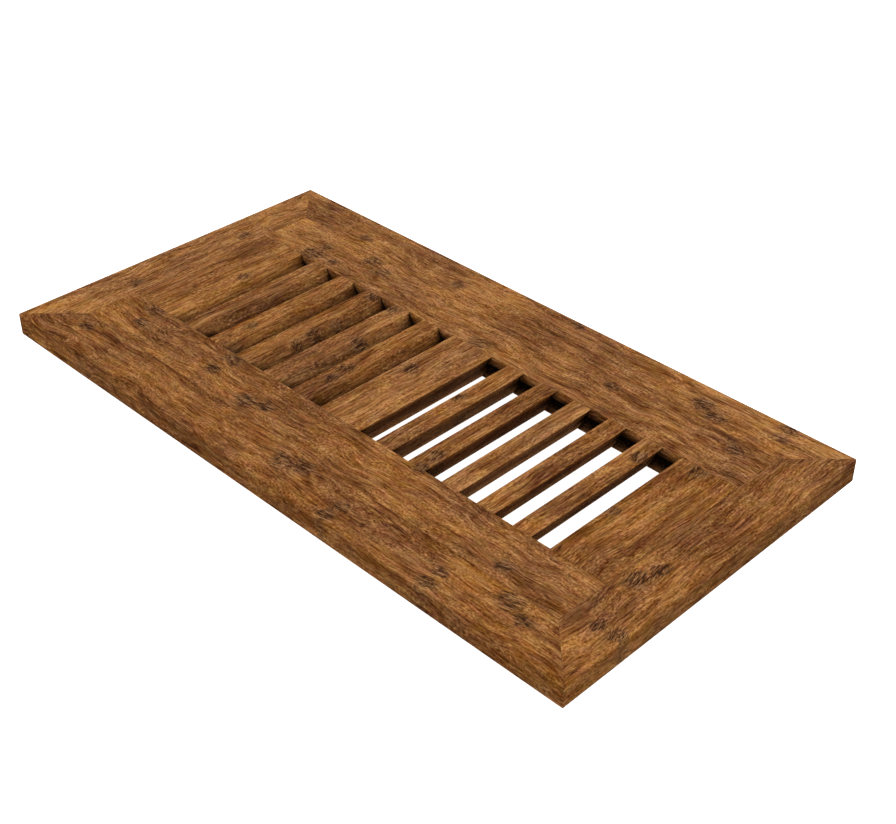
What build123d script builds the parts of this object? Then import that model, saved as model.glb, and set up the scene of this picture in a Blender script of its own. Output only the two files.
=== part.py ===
"""Wooden floor register: a drop-in louvred grille resting in a mitred, rabbeted flush frame.

Two groups of sloped louvres lean towards a centre wedge, so the air fans out to both ends.
Origin: centre of the louvre box, on its underside. X runs along the register, Z is up.
"""

import os
from math import radians, sqrt, tan

from build123d import *

# Slots and louvres, as they show on the top face (mm, degrees)
slot_length = 102.0
slot_width = 12.3
louvre_width = 12.3
louvre_angle = 31.0  # slope from vertical
louvres_per_side = 5
centre_base = 4.4  # flat left at the foot of the centre wedge

# Louvre box under the border of the grille
tongue_length = 6.1  # run of the louvre ends under the grille rails
housing_depth = 3.0  # sloped grooves that hold the louvre ends
carrier_thickness = 11.2
end_wall = 18.6  # end block on the top face, from the last slot to the box's outer face

# Heights, from the underside up
box_drop = 8.7  # louvre box below the frame's underside
ledge_thickness = 7.95
rim_thickness = 6.35  # grille border, level with the frame when it rests on the ledge

# Flush frame
frame_rail = 29.0  # rail width on the top face
ledge_width = 14.0  # ledge that carries the grille
spline_thickness = 3.0
spline_width = 12.0  # across the mitre, half in each rail
spline_margin = 10.0  # wood left along the mitre beyond each end of a spline

# Edges and fits
frame_edge_radius = 0.8
slot_edge_radius = 0.4
drop_in_gap = 0.1  # play around the grille in the frame
box_gap = 3.0  # room between the louvre box and the ledge
glue_gap = 0.1  # room for glue around louvre ends and splines

# Levels
ledge_top = box_drop + ledge_thickness
top = ledge_top + rim_thickness
slope = tan(radians(louvre_angle))
lean = top * slope  # sideways run of a louvre over its full depth

# Stations across the register, from the middle out
slot_half = slot_length / 2
carrier_inner = slot_half + tongue_length
carrier_outer = carrier_inner + carrier_thickness
ledge_side = carrier_outer + box_gap
opening_side = ledge_side + ledge_width
frame_side = opening_side + frame_rail
grille_side = opening_side - drop_in_gap
housing_end = carrier_inner + housing_depth

# Stations along the register, from the middle out
pitch = slot_width + louvre_width
centre_half = centre_base / 2 + lean
first_louvre = centre_half + slot_width
last_slot = first_louvre + louvres_per_side * pitch
box_end = last_slot + end_wall
ledge_end = box_end + box_gap
opening_end = ledge_end + ledge_width
frame_end = opening_end + frame_rail
grille_end = opening_end - drop_in_gap

louvre_places = [first_louvre + index * pitch for index in range(louvres_per_side)]
sides = (("left", -1), ("right", 1))
rails = (("front", -1), ("back", 1))
corners = [(x, y) for x in (-1, 1) for y in (-1, 1)]


def louvre_profile(inner, width, hand):
    """Corners of a louvre whose top starts at `inner` and whose foot leans to the centre."""
    return [
        (hand * inner, top),
        (hand * (inner + width), top),
        (hand * (inner + width - lean), 0),
        (hand * (inner - lean), 0),
    ]


def wedge_profile(gap=0):
    """Corners of the centre wedge, widened by a gap on each side."""
    head = centre_half + gap
    foot = centre_base / 2 + gap
    return [(-head, top), (head, top), (foot, 0), (-foot, 0)]


def frame_profile(ledge, opening, outside, hand):
    """Corners of a rabbeted frame rail: outer edge, underside, ledge and rabbet wall."""
    return [
        (hand * outside, top),
        (hand * outside, box_drop),
        (hand * ledge, box_drop),
        (hand * ledge, ledge_top),
        (hand * opening, ledge_top),
        (hand * opening, top),
    ]


def spline_plane(x, y, gap=0):
    """Level plane on the middle of a corner's mitre, its X along the mitre."""
    middle = frame_rail / 2
    height = (box_drop + top - spline_thickness) / 2 - gap
    origin = (x * (frame_end - middle), y * (frame_side - middle), height)
    return Plane(origin=origin, x_dir=(x, y, 0), z_dir=(0, 0, 1))


def add_spline(x, y, gap=0, mode=Mode.ADD):
    """Blind spline across a corner's mitre, or its kerf when a gap is given."""
    length = frame_rail * sqrt(2) - 2 * spline_margin
    with BuildSketch(spline_plane(x, y, gap)) as outline:
        Rectangle(length + 2 * gap, spline_width + 2 * gap)
    extrude(outline.sketch, amount=spline_thickness + 2 * gap, mode=mode)


def cut_shoulders(reach):
    """Lower both ends of a cross piece to pass under the grille rails."""
    with BuildSketch(Plane.XY.offset(ledge_top)) as shoulders:
        with GridLocations(0, slot_half + reach, 1, 2):
            Rectangle(2 * frame_end, reach - slot_half)
    extrude(shoulders.sketch, amount=rim_thickness, mode=Mode.SUBTRACT)


def finish(piece, name):
    """Label a finished piece and write it under its own name."""
    piece.part.label = name
    export_step(piece.part, f"parts/{name}.step")


os.makedirs("parts", exist_ok=True)

# Long frame rails: rabbeted along the inside, mitred at both ends, kerfed for the splines
for name, hand in rails:
    with BuildPart() as frame_rail_piece:
        with BuildSketch(Plane.YZ) as profile:
            Polygon(*frame_profile(ledge_side, opening_side, frame_side, hand), align=None)
            fillet(profile.vertices().sort_by_distance((0, 0))[-1], frame_edge_radius)
        extrude(amount=frame_end, both=True)
        for end in (-1, 1):
            corner = (end * frame_end, hand * frame_side, 0)
            split(bisect_by=Plane(origin=corner, z_dir=(-end, hand, 0)), keep=Keep.TOP)
            add_spline(end, hand, glue_gap, Mode.SUBTRACT)
    finish(frame_rail_piece, f"frame_rail_{name}")

# Short frame rails: the same section and joints across the ends
for name, hand in sides:
    with BuildPart() as frame_end_piece:
        with BuildSketch(Plane.XZ) as profile:
            Polygon(*frame_profile(ledge_end, opening_end, frame_end, hand), align=None)
            fillet(profile.vertices().sort_by_distance((0, 0))[-1], frame_edge_radius)
        extrude(amount=frame_side, both=True)
        for end in (-1, 1):
            corner = (hand * frame_end, end * frame_side, 0)
            split(bisect_by=Plane(origin=corner, z_dir=(hand, -end, 0)), keep=Keep.TOP)
            add_spline(hand, end, glue_gap, Mode.SUBTRACT)
    finish(frame_end_piece, f"frame_end_{name}")

# Blind splines that hold the four mitres
with BuildPart() as splines:
    for x, y in corners:
        add_spline(x, y)
finish(splines, "mitre_splines")

# Border strips of the grille: they run its full length and lie on the ledge and the carriers
for name, hand in rails:
    with BuildPart() as grille_rail:
        with BuildSketch(Plane.XY.offset(ledge_top)):
            with Locations((0, hand * (slot_half + grille_side) / 2)):
                Rectangle(2 * grille_end, grille_side - slot_half)
        extrude(amount=rim_thickness)
    finish(grille_rail, f"grille_rail_{name}")

# Side boards of the louvre box, with a sloped groove for each louvre and for the centre wedge
for name, hand in rails:
    with BuildPart() as carrier:
        with BuildSketch(Plane.XY):
            with Locations((0, hand * (carrier_inner + carrier_outer) / 2)):
                Rectangle(2 * box_end, carrier_thickness)
        extrude(amount=ledge_top)
        with BuildSketch(Plane.XZ.offset(-hand * carrier_inner)):
            Polygon(*wedge_profile(glue_gap), align=None)
            for place in louvre_places:
                for _, lean_hand in sides:
                    groove = louvre_profile(place - glue_gap, louvre_width + 2 * glue_gap, lean_hand)
                    Polygon(*groove, align=None)
        extrude(amount=-hand * housing_depth, mode=Mode.SUBTRACT)
    finish(carrier, f"carrier_{name}")

# End blocks: the inner face follows the louvres, the lip rests on the ledge
for name, hand in sides:
    with BuildPart() as end_block:
        with BuildSketch(Plane.XZ) as section:
            with BuildLine():
                Polyline(
                    (hand * last_slot, top),
                    (hand * grille_end, top),
                    (hand * grille_end, ledge_top),
                    (hand * box_end, ledge_top),
                    (hand * box_end, 0),
                    (hand * (last_slot - lean), 0),
                    close=True,
                )
            make_face()
            top_corners = section.vertices().group_by(Axis.Y)[-1]
            fillet(top_corners.sort_by_distance((0, top))[0], slot_edge_radius)
        extrude(amount=carrier_inner, both=True)
        cut_shoulders(carrier_inner)
    finish(end_block, f"end_block_{name}")

# Centre wedge between the two groups, tongued into both carriers
with BuildPart() as centre_block:
    with BuildSketch(Plane.XZ) as section:
        Polygon(*wedge_profile(), align=None)
        fillet(section.vertices().group_by(Axis.Y)[-1], slot_edge_radius)
    extrude(amount=housing_end - glue_gap, both=True)
    cut_shoulders(housing_end)
finish(centre_block, "centre_block")

# Louvres, numbered from the centre out, tongued into both carriers
for name, hand in sides:
    for number, place in enumerate(louvre_places, start=1):
        with BuildPart() as louvre:
            with BuildSketch(Plane.XZ) as section:
                Polygon(*louvre_profile(place, louvre_width, hand), align=None)
                fillet(section.vertices().group_by(Axis.Y)[-1], slot_edge_radius)
            extrude(amount=housing_end - glue_gap, both=True)
            cut_shoulders(housing_end)
        finish(louvre, f"louvre_{name}_{number}")
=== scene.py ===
from math import radians

import bmesh
import bpy
from mathutils import Matrix, Vector

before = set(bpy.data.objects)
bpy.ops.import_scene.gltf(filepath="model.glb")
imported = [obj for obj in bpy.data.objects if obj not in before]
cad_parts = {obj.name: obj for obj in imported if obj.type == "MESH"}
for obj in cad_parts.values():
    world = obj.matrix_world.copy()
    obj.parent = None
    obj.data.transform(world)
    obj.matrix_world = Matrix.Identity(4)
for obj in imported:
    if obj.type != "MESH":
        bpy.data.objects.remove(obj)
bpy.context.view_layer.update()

# Long frame rails: the two long sides of the flush frame, ripped from strand-woven bamboo flooring.
# They are rabbeted along the inside to carry the grille, mitred at both ends, glued and sanded level.
along, across = 0, -90  # degrees that turn the length of the grain onto X


def add_node(tree, kind, links=None, **settings):
    """One node with its settings; each input in links takes a socket or a plain value."""
    node = tree.nodes.new(kind)
    for setting, value in settings.items():
        setattr(node, setting, value)
    for socket, source in (links or {}).items():
        if isinstance(source, bpy.types.NodeSocket):
            tree.links.new(source, node.inputs[socket])
        else:
            node.inputs[socket].default_value = source
    return node


def linear(code):
    """An sRGB hex colour as linear red, green, blue and alpha."""
    parts = [int(code[i : i + 2], 16) / 255 for i in (1, 3, 5)]
    return [c / 12.92 if c <= 0.04045 else ((c + 0.055) / 1.055) ** 2.4 for c in parts] + [1.0]


# Strand-woven bamboo: stalks shredded into strands, steamed brown, pressed with resin, planed and oiled.
# The eye gets short fibres in tan and umber that cross at small angles, streaky dark scars where the
# stalk had its nodes, a low silky sheen, paler rubbed edges, and painted shade in inside corners and on low
# edges.
# The sizes of its patterns are in mm.
to_mm = 1000.0
board_shift = Vector((137.0, 61.0, 23.0))  # from piece to piece, so that no two show the same wood
waver, waver_length = 7.0, 40.0  # how far the strands wander sideways, and from bend to bend


def lay_strands(tree, piece, grain, crushed):
    """Places in mm on the piece as it lies, on its own stretch of board, and along wavering strands."""
    place = add_node(tree, "ShaderNodeTexCoord").outputs["Object"]
    turned = {"Vector": place, "Rotation": (0, 0, radians(grain)), "Scale": (to_mm, to_mm, to_mm)}
    lying = add_node(tree, "ShaderNodeMapping", turned).outputs["Vector"]
    shift = {0: lying, 1: board_shift * sorted(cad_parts).index(piece)}
    board = add_node(tree, "ShaderNodeVectorMath", shift, operation="ADD").outputs["Vector"]
    bends = {"Vector": board, "Scale": 1 / waver_length, "Detail": 1.0}
    bends = add_node(tree, "ShaderNodeTexNoise", bends).outputs["Color"]
    wander = waver * crushed**2
    drift = {0: bends, 1: (0, wander, wander), 2: board}
    laid = add_node(tree, "ShaderNodeVectorMath", drift, operation="MULTIPLY_ADD").outputs["Vector"]
    return lying, board, laid


strand_length, strand_width = 26.0, 1.8
strand_contrast, plain_tone = 0.26, 0.37  # each crushed strand has a tone of its own
# The layers of grain: length, width and lean in degrees, then the part of the noise that counts, and
# what it takes from and adds to the tone. Real fibres are a quarter as wide, and are drawn coarser to show.
grain_layers = {
    "areas": (60, 35, 0, 0.2, 0.8, -0.22, 0.22),
    "bands": (90, 6, 0, 0.2, 0.8, -0.23, 0.23),
    "patches": (22, 8, 0, 0.2, 0.8, -0.13, 0.13),
    "fibres": (24, 0.9, 0, 0.2, 0.8, -0.37, 0.37),
    "mottling": (2.0, 1.0, 0, 0.2, 0.8, -0.36, 0.36),
    "dark pores": (10, 1.0, 10, 0.34, 0.42, -0.22, 0.0),
    "golden fibres": (14, 0.9, -8, 0.58, 0.66, 0.0, 0.22),
}
layer_gap = 300.0  # between the places where two layers start, so that they don't follow each other
layer_detail, layer_roughness = 2.5, 0.55
# The share of a layer in patches of straight strands and in patches of crumpled ones.
weave = {"fibres": (1.4, 0.65), "mottling": (0.4, 1.4)}
straight_patch, crumpled_patch = 0.38, 0.62


def shade_strands(tree, laid, tone, crushed):
    """How light the wood is, from 0 to 1, and the noise that each layer of grain is made from."""
    spread = {"Vector": laid, "Scale": (strand_length / crushed, strand_width, strand_width)}
    strands = add_node(tree, "ShaderNodeMapping", spread, vector_type="TEXTURE").outputs["Vector"]
    tones = add_node(tree, "ShaderNodeTexVoronoi", {"Vector": strands, "Scale": 1.0}).outputs["Color"]
    lift = {0: tones, 1: strand_contrast, 2: tone + plain_tone}
    shade = add_node(tree, "ShaderNodeMath", lift, operation="MULTIPLY_ADD").outputs[0]
    grains = {}
    for layer, (length, width, lean, low, high, least, most) in grain_layers.items():
        apart = layer_gap * len(grains)
        spread = {"Vector": laid, "Location": (apart, apart, apart)}
        spread["Rotation"] = (0, 0, radians(lean))
        spread["Scale"] = (length / crushed, width, width)
        spread = add_node(tree, "ShaderNodeMapping", spread, vector_type="TEXTURE").outputs["Vector"]
        noise = {"Vector": spread, "Scale": 1.0, "Detail": layer_detail, "Roughness": layer_roughness}
        grains[layer] = add_node(tree, "ShaderNodeTexNoise", noise).outputs["Fac"]
        limits = {"Value": grains[layer], "From Min": low, "From Max": high}
        limits |= {"To Min": least, "To Max": most}
        part = add_node(tree, "ShaderNodeMapRange", limits).outputs["Result"]
        if layer in weave:
            straight, crumpled = weave[layer]
            limits = {"Value": grains["patches"], "From Min": straight_patch, "From Max": crumpled_patch}
            limits |= {"To Min": straight, "To Max": crumpled}
            share = add_node(tree, "ShaderNodeMapRange", limits).outputs["Result"]
            part = add_node(tree, "ShaderNodeMath", {0: part, 1: share}, operation="MULTIPLY").outputs[0]
        shade = add_node(tree, "ShaderNodeMath", {0: shade, 1: part}, operation="ADD").outputs[0]
    return shade, grains


browns = ("#4c2000", "#6e3f14", "#8c592b", "#ac7541", "#c89057")  # from pores to the palest fibres
tint_length, tint_width, tint_gap = 9.0, 4.0, 500.0
noise_low, noise_high = 0.3, 0.7  # nearly all of a noise lies between these
# Some strands took more of the steam and are redder, some are greyer, and light areas are golden.
# Each swings this far to both sides of the value that changes nothing.
steam_swing, grey_swing, gold_swing = (0.5, 0.008), (1.0, 0.035), (1.0, 0.04)


def colour_strands(tree, shade, laid, areas):
    """The browns of the strands by how light they are, tinted strand by strand."""
    ramp = add_node(tree, "ShaderNodeValToRGB", {"Fac": shade})
    stops = ramp.color_ramp.elements
    while len(stops) < len(browns):
        stops.new(0.5)
    for number, brown in enumerate(browns):
        stops[number].position = number / (len(browns) - 1)
        stops[number].color = linear(brown)
    spread = {"Vector": laid, "Location": (tint_gap, tint_gap, tint_gap)}
    spread["Scale"] = (tint_length, tint_width, tint_width)
    tints = add_node(tree, "ShaderNodeMapping", spread, vector_type="TEXTURE").outputs["Vector"]
    tints = add_node(tree, "ShaderNodeTexNoise", {"Vector": tints, "Scale": 1.0}).outputs["Color"]
    tints = add_node(tree, "ShaderNodeSeparateColor", {"Color": tints}).outputs
    swings = ((tints["Red"], steam_swing), (tints["Green"], grey_swing), (areas, gold_swing))
    swung = []
    for noise, (middle, swing) in swings:
        limits = {"Value": noise, "From Min": noise_low, "From Max": noise_high}
        limits |= {"To Min": middle - swing, "To Max": middle + swing}
        swung.append(add_node(tree, "ShaderNodeMapRange", limits).outputs["Result"])
    steam, grey, gold = swung
    depth = add_node(tree, "ShaderNodeMath", {0: grey, 1: gold}, operation="MULTIPLY").outputs[0]
    tinted = {"Hue": steam, "Saturation": depth, "Color": ramp.outputs["Color"]}
    return add_node(tree, "ShaderNodeHueSaturation", tinted).outputs["Color"]


scar_stretch = 1.3  # scars are longer along the grain
tear_size = 4.0
tear_reach = Vector((9.0, 5.0, 5.0))  # how far the outline is torn, along and across the grain
scar_rim, scar_full = 1.8, 0.6  # where a scar begins and where it is full, in half lengths
hatch_length, hatch_width, hatch_lean = 6.0, 0.75, 13  # the lean is in degrees
scar_detail, hatch_distortion = 3.0, 1.2
heart_pull = -0.07  # dark fibres crowd together in the middle
# The stains of a scar: from which value to which they come in, how much of them, and their colour.
scar_stains = {
    "red heart": (0.3, 1.0, 0.32, "#622c14"),
    "dark fibres": (0.47, 0.39, 0.85, "#2a180c"),
    "pale fibres": (0.54, 0.64, 0.4, "#bc9a6e"),
}


def scar_wood(tree, colour, scars, grain, lying, board, laid):
    """Node scars: ragged spots hatched with dark and pale fibres, at x, y and half length in mm."""
    noise = {"Vector": board, "Scale": 1 / tear_size, "Detail": scar_detail}
    ragged = add_node(tree, "ShaderNodeTexNoise", noise).outputs["Color"]
    torn = {0: ragged, 1: tear_reach, 2: lying}
    torn = add_node(tree, "ShaderNodeVectorMath", torn, operation="MULTIPLY_ADD").outputs["Vector"]
    centred = (-tear_reach.x / 2 / scar_stretch, -tear_reach.y / 2, 0)
    flat = {"Vector": torn, "Location": centred, "Scale": (1 / scar_stretch, 1, 0)}
    flat = add_node(tree, "ShaderNodeMapping", flat).outputs["Vector"]
    turn = Matrix.Rotation(radians(grain), 3, "Z")
    mask = None
    for x, y, half in scars:
        middle = turn @ Vector((x, y, 0))
        middle.x /= scar_stretch
        away = {0: flat, 1: middle}
        away = add_node(tree, "ShaderNodeVectorMath", away, operation="DISTANCE").outputs["Value"]
        limits = {"Value": away, "From Min": scar_rim * half, "From Max": scar_full * half}
        spot = add_node(tree, "ShaderNodeMapRange", limits, interpolation_type="SMOOTHSTEP")
        spot = spot.outputs["Result"]
        if mask is None:
            mask = spot
        else:
            mask = add_node(tree, "ShaderNodeMath", {0: mask, 1: spot}, operation="MAXIMUM").outputs[0]
    spread = {"Vector": laid, "Rotation": (0, 0, radians(hatch_lean))}
    spread["Scale"] = (hatch_length, hatch_width, hatch_width)
    hatch = add_node(tree, "ShaderNodeMapping", spread, vector_type="TEXTURE").outputs["Vector"]
    noise = {"Vector": hatch, "Scale": 1.0, "Detail": scar_detail, "Distortion": hatch_distortion}
    hatch = add_node(tree, "ShaderNodeTexNoise", noise).outputs["Fac"]
    crowded = {0: mask, 1: heart_pull, 2: hatch}
    crowded = add_node(tree, "ShaderNodeMath", crowded, operation="MULTIPLY_ADD").outputs[0]
    sources = {"red heart": mask, "dark fibres": crowded, "pale fibres": hatch}
    for part, (low, high, most, stain) in scar_stains.items():
        limits = {"Value": sources[part], "From Min": low, "From Max": high, "To Max": most}
        amount = add_node(tree, "ShaderNodeMapRange", limits).outputs["Result"]
        amount = add_node(tree, "ShaderNodeMath", {0: amount, 1: mask}, operation="MULTIPLY").outputs[0]
        stained = {0: amount, 6: colour, 7: linear(stain)}
        colour = add_node(tree, "ShaderNodeMix", stained, data_type="RGBA").outputs[2]
    return colour


rub_radius = 0.0006  # metres
rub_none, rub_full = 0.99, 0.85  # how far a face agrees with its rounded edge
rub_most, rubbed_brown = 0.5, "#b98d58"
rub_starts, rub_ends = 0.4, 0.6


def rub_edges(tree, colour, bands):
    """Edges rubbed paler, in broken lengths."""
    face = add_node(tree, "ShaderNodeNewGeometry").outputs["Normal"]
    rounded = add_node(tree, "ShaderNodeBevel", {"Radius": rub_radius}, samples=4).outputs["Normal"]
    same = add_node(tree, "ShaderNodeVectorMath", {0: face, 1: rounded}, operation="DOT_PRODUCT")
    limits = {"Value": same.outputs["Value"], "From Min": rub_none, "From Max": rub_full}
    limits["To Max"] = rub_most
    edge = add_node(tree, "ShaderNodeMapRange", limits).outputs["Result"]
    limits = {"Value": bands, "From Min": rub_starts, "From Max": rub_ends}
    lengths = add_node(tree, "ShaderNodeMapRange", limits).outputs["Result"]
    worn = add_node(tree, "ShaderNodeMath", {0: edge, 1: lengths}, operation="MULTIPLY").outputs[0]
    rubbed = {0: worn, 6: colour, 7: linear(rubbed_brown)}
    return add_node(tree, "ShaderNodeMix", rubbed, data_type="RGBA").outputs[2]


# Painted shade in inside corners, from how much of the space around a point is closed within this reach.
corner_reach = 0.014  # metres
painted_shade_brown = "#0a0502"


def paint_corner_shade(tree, colour, corner_limits):
    """Painted shade: near black where a corner is as closed as the first of corner_limits, gone at the
    second.
    """
    shelter = add_node(tree, "ShaderNodeAmbientOcclusion", {"Distance": corner_reach}, samples=8)
    limits = {"Value": shelter.outputs["AO"], "From Min": corner_limits[0], "From Max": corner_limits[1]}
    unshaded = add_node(tree, "ShaderNodeMapRange", limits, interpolation_type="SMOOTHSTEP")
    shaded = {0: unshaded.outputs["Result"], 6: linear(painted_shade_brown), 7: colour}
    return add_node(tree, "ShaderNodeMix", shaded, data_type="RGBA").outputs[2]


# Painted shade down the edges: it starts at the first height and is full at the second.
low_shade_top, low_shade_full = 20.5, 17.0  # mm above the underside of the louvre box


def paint_low_shade(tree, colour, lying, low_shade):
    """Painted shade, darker towards the underside."""
    height = add_node(tree, "ShaderNodeSeparateXYZ", {"Vector": lying}).outputs["Z"]
    limits = {"Value": height, "From Min": low_shade_top, "From Max": low_shade_full, "To Max": low_shade}
    amount = add_node(tree, "ShaderNodeMapRange", limits).outputs["Result"]
    darkened = {0: amount, 6: colour, 7: linear(painted_shade_brown)}
    return add_node(tree, "ShaderNodeMix", darkened, data_type="RGBA").outputs[2]


open_fibres, hard_fibres = 0.6, 0.45  # roughness: oil sinks into open fibres and stays on hard ones
fibre_relief, relief_strength = 0.0001, 0.5  # metres, share
oil_specular = 0.1  # the oil is wiped off and leaves little shine


def strand_bamboo(piece, grain, tone, scars, corner_limits, low_shade, crushed):
    """The wood of one piece. Crushed strands are shorter and wander more than those of a plain board."""
    material = bpy.data.materials.new("strand_bamboo_" + piece)
    material.use_nodes = True
    tree = material.node_tree
    tree.nodes.clear()
    lying, board, laid = lay_strands(tree, piece, grain, crushed)
    shade, grains = shade_strands(tree, laid, tone, crushed)
    colour = colour_strands(tree, shade, laid, grains["areas"])
    if scars:
        colour = scar_wood(tree, colour, scars, grain, lying, board, laid)
    colour = rub_edges(tree, colour, grains["bands"])
    colour = paint_corner_shade(tree, colour, corner_limits)
    if low_shade:
        colour = paint_low_shade(tree, colour, lying, low_shade)
    limits = {"Value": grains["fibres"], "From Min": noise_low, "From Max": noise_high}
    limits |= {"To Min": open_fibres, "To Max": hard_fibres}
    sheen = add_node(tree, "ShaderNodeMapRange", limits).outputs["Result"]
    relief = {"Height": grains["fibres"], "Distance": fibre_relief, "Strength": relief_strength}
    relief = add_node(tree, "ShaderNodeBump", relief).outputs["Normal"]
    finish = {"Base Color": colour, "Roughness": sheen, "Normal": relief}
    finish["Specular IOR Level"] = oil_specular
    shader = add_node(tree, "ShaderNodeBsdfPrincipled", finish).outputs["BSDF"]
    add_node(tree, "ShaderNodeOutputMaterial", {"Surface": shader})
    return material


arris = 0.00012  # metres; every edge is broken with fine paper before oiling
same_point = 0.000001  # metres
same_plane, sharp_edge = radians(1), radians(40)
# Painted corner shade: dark below the first share of open space, gone above the second.
open_corner_shade = (0.44, 0.55)


def dress(piece, grain, tone=0.0, scars=(), corner_limits=open_corner_shade, low_shade=0.0, crushed=1.0):
    """Give a CAD piece its wood, and break its edges without touching its mesh."""
    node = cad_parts[piece]
    node.data.materials.clear()
    node.data.materials.append(strand_bamboo(piece, grain, tone, scars, corner_limits, low_shade, crushed))
    joined = node.modifiers.new("joined faces", "WELD")
    joined.merge_threshold = same_point
    planed = node.modifiers.new("planed faces", "DECIMATE")
    planed.decimate_type = "DISSOLVE"
    planed.angle_limit = same_plane
    broken = node.modifiers.new("broken edges", "BEVEL")
    broken.width = arris
    broken.segments = 2
    broken.limit_method = "ANGLE"
    broken.angle_limit = sharp_edge
    broken.use_clamp_overlap = False


frame_crushed = 1.3
# Light painted shade towards the underside of the long rails.
long_rail_low_shade = 0.1
front_rail_scars = (
    (7, -97, 5), (19, -93, 4.5), (163, -92, 5), (176, -97, 4), (-175, -93, 3.5),
    (127, -110, 4), (126, -100, 3.5), (56, -110, 4), (57, -100, 3.5),
)
back_rail_scars = (
    (130, 98, 5), (141, 92, 4), (-54, 94, 3.5), (-138, 94, 3.5),
    (176, 110, 4), (178, 101, 3.5), (29, 110, 3),
)
dress("frame_rail_front", along, -0.06, front_rail_scars, low_shade=long_rail_low_shade, crushed=frame_crushed)
dress("frame_rail_back", along, 0.04, back_rail_scars, low_shade=long_rail_low_shade, crushed=frame_crushed)

# Short frame rails: the two ends of the flush frame, the same bamboo section with the grain turned.
# They are mitred and glued between the long rails, so the grain changes direction at each corner.
# Painted shade towards the underside of the short rails.
short_rail_low_shade = 0.3
left_end_scars = ((-196, 41, 3.5), (-196, -43, 3.5))
right_end_scars = ((195, -38, 5), (199, -26, 4), (212, -74, 4), (202, -76, 3.5))
dress("frame_end_left", across, 0.075, left_end_scars, low_shade=short_rail_low_shade, crushed=frame_crushed)
dress("frame_end_right", across, -0.02, right_end_scars, low_shade=short_rail_low_shade, crushed=frame_crushed)

# Mitre splines: thin bamboo tongues in saw kerfs across the four mitres, glued in and hidden by the rails.
# Their grain crosses the mitre, which is what holds the corners.
dress("mitre_splines", across)

# Carriers: the two side boards of the louvre box, bamboo on edge with a sloped groove for each louvre.
# They are glued under the border strips, so they only show at the slot ends, deep in the dark.
# Deep painted shade on the carriers' faces.
deep_corner_shade = (0.5, 0.72)
dress("carrier_front", along, corner_limits=deep_corner_shade)
dress("carrier_back", along, corner_limits=deep_corner_shade)

# End blocks: solid bamboo blocks that close the louvre box, their inner face sawn to the louvres' slope.
# They are glued between the carriers, and their lip rests on the ledge of the frame.
block_crushed = 0.9
# Painted corner shade that fades slowly, for faces beside the left group's slots.
left_group_corner_shade = (0.52, 0.86)
left_block_scars = ((-155, 8, 3.5),)
right_block_scars = ((165, 48, 4.5), (154, -8, 3))
dress("end_block_left", across, -0.01, left_block_scars, left_group_corner_shade, crushed=block_crushed)
dress("end_block_right", across, -0.125, right_block_scars, crushed=block_crushed)

# Centre block: a bamboo wedge, wide at the top, where the two groups of louvres turn their backs.
# It is tongued into both carriers like the louvres beside it.
dress("centre_block", across, 0.045, ((-8, 10, 3.5),))

# Louvres: ten bamboo slats sawn to a sloped section and tongued into the grooves of the carriers.
# Both groups lean to the middle. Light falls on the left faces and leaves the right ones in shade.
# Painted corner shade that ends sharply, for the right group's faces.
right_group_corner_shade = (0.42, 0.5)
left_tones = (-0.08, 0.07, -0.08, -0.01, -0.02)
right_tones = (0.02, -0.1, 0.14, 0.0, 0.01)
louvre_scars = {
    "louvre_left_1": ((-32, -27, 4), (-34, -16, 4)),
    "louvre_left_2": ((-62, 47, 4), (-51, 9, 4)),
    "louvre_left_3": ((-81, 47, 3.5), (-75, -3, 4), (-75, 13, 2.5), (-75, -17, 2.5)),
    "louvre_left_4": ((-107, -25, 3.5),),
    "louvre_right_1": ((31, 9, 3),),
    "louvre_right_2": ((60, -38, 4), (62, -51, 4)),
    "louvre_right_5": ((135, 36, 3.5),),
}
louvre_groups = (("left", left_tones, left_group_corner_shade), ("right", right_tones, right_group_corner_shade))
for side, tones, faces in louvre_groups:
    for number, tone in enumerate(tones, start=1):
        louvre = f"louvre_{side}_{number}"
        dress(louvre, across, tone, louvre_scars.get(louvre, ()), faces)

# Grille rails: the long border strips of the drop-in grille, bamboo planed to the depth of the rabbet.
# They are glued over the carriers and the louvre ends, and lie on the frame's ledge.
# Painted shade in the corners of the grille rails.
strip_corner_shade = (0.4, 0.52)
# Strong painted shade down the grille rails' edges towards the underside.
strip_low_shade, strip_crushed = 0.8, 1.35
front_strip_scars = (
    (-49, -76, 5), (-37, -72, 4), (144, -76, 3.5), (-161, -53, 5), (-156, -69, 3.5),
    (-86, -56, 4.5), (-87, -69, 3.5), (62, -51, 4),
)
back_strip_scars = (
    (-112, 77, 5), (-99, 72, 4.5), (84, 76, 3.5), (167, 76, 3.5), (-147, 57, 5),
    (-148, 69, 3.5), (0, 55, 5), (-130, 58, 3),
)
dress("grille_rail_front", along, -0.015, front_strip_scars, strip_corner_shade, strip_low_shade, strip_crushed)
dress("grille_rail_back", along, 0.04, back_strip_scars, strip_corner_shade, strip_low_shade, strip_crushed)

# Floor: a sweep of matt white paper under the register, lit until it is plain white.
# It neither shades the register nor colours it.
floor_half = 20.0
shape = bmesh.new()
bmesh.ops.create_grid(shape, x_segments=1, y_segments=1, size=floor_half)
sheet = bpy.data.meshes.new("floor")
shape.to_mesh(sheet)
shape.free()
floor = bpy.data.objects.new("floor", sheet)
bpy.context.scene.collection.objects.link(floor)
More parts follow.
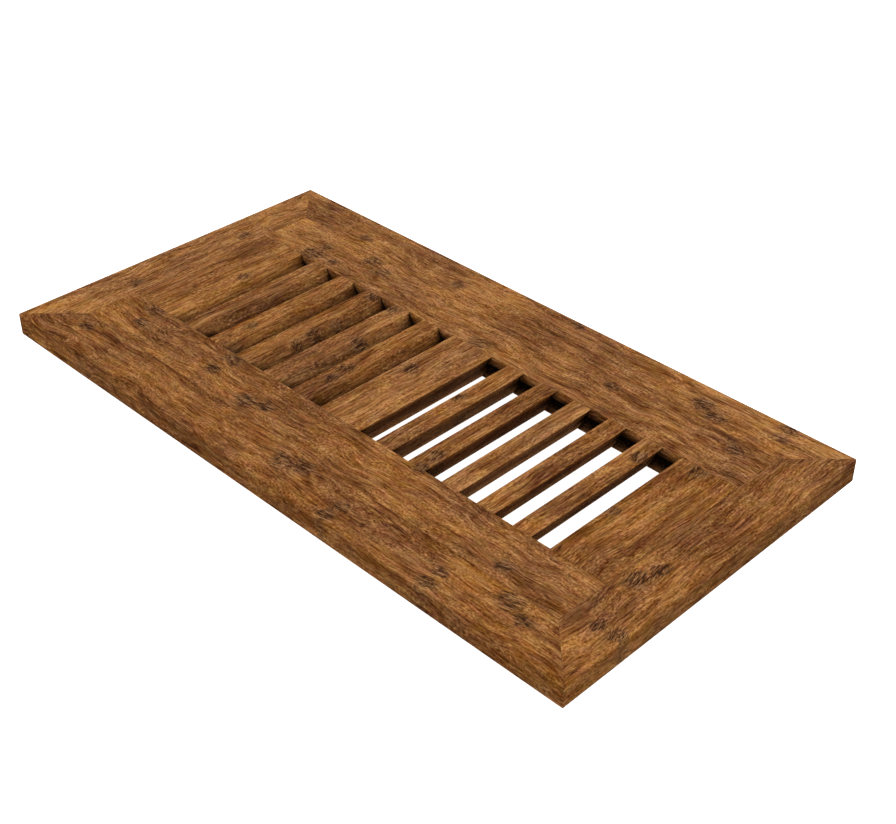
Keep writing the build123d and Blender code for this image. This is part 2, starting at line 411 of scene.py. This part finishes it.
# White paper: uncoated and matt, so the eye gets an even white with no shine.
paper = bpy.data.materials.new("white_paper")
paper.use_nodes = True
tree = paper.node_tree
tree.nodes.clear()
lit = {"Base Color": linear("#e8e8e6"), "Roughness": 0.9, "Emission Color": linear("#ffffff")}
lit["Emission Strength"] = 1.0
shader = add_node(tree, "ShaderNodeBsdfPrincipled", lit).outputs["BSDF"]
add_node(tree, "ShaderNodeOutputMaterial", {"Surface": shader})
sheet.materials.append(paper)
floor.visible_diffuse = False
floor.visible_glossy = False
floor.visible_shadow = False

# Studio light: an even white tent, half as bright below the table, and a softbox low on the right
# that reaches into the slots. The tent gives no reflections, so the oiled wood stays matt.
tent_white = linear("#ffffff")
tent_below, tent_above = 0.5, 1.0
dim_height, bright_height = -0.13, -0.03  # of a direction of length 1
world = bpy.data.worlds.new("studio")
bpy.context.scene.world = world
world.use_nodes = True
tree = world.node_tree
tree.nodes.clear()
direction = add_node(tree, "ShaderNodeTexCoord").outputs["Generated"]
height = add_node(tree, "ShaderNodeSeparateXYZ", {"Vector": direction}).outputs["Z"]
limits = {"Value": height, "From Min": dim_height, "From Max": bright_height}
limits |= {"To Min": tent_below, "To Max": tent_above}
level = add_node(tree, "ShaderNodeMapRange", limits).outputs["Result"]
tent = add_node(tree, "ShaderNodeBackground", {"Color": tent_white, "Strength": level}).outputs[0]
add_node(tree, "ShaderNodeOutputWorld", {"Surface": tent})
world.cycles_visibility.glossy = False
softbox = bpy.data.objects.new("softbox", bpy.data.lights.new("softbox", "AREA"))
softbox.data.size = 1.0
softbox.data.energy = 2.0
softbox.location = (1.22, -0.70, 0.53)
softbox.rotation_euler = (-softbox.location).to_track_quat("-Z", "Y").to_euler()
bpy.context.scene.collection.objects.link(softbox)

# Camera: at the photograph's angle, 45 degrees round from the front and 35 degrees down on the top face.
# It looks a little to the right of the middle, as the photograph is framed.
aim = Vector((0.03666, -0.00561, 0.023))
camera = bpy.data.objects.new("camera", bpy.data.cameras.new("camera"))
camera.data.lens = 60.78
camera.data.sensor_width = 36
camera.location = (0.50826, -0.47721, 0.49459)
camera.rotation_euler = (aim - camera.location).to_track_quat("-Z", "Y").to_euler()
bpy.context.scene.collection.objects.link(camera)
bpy.context.scene.camera = camera
bpy.context.scene.view_settings.view_transform = "Standard"
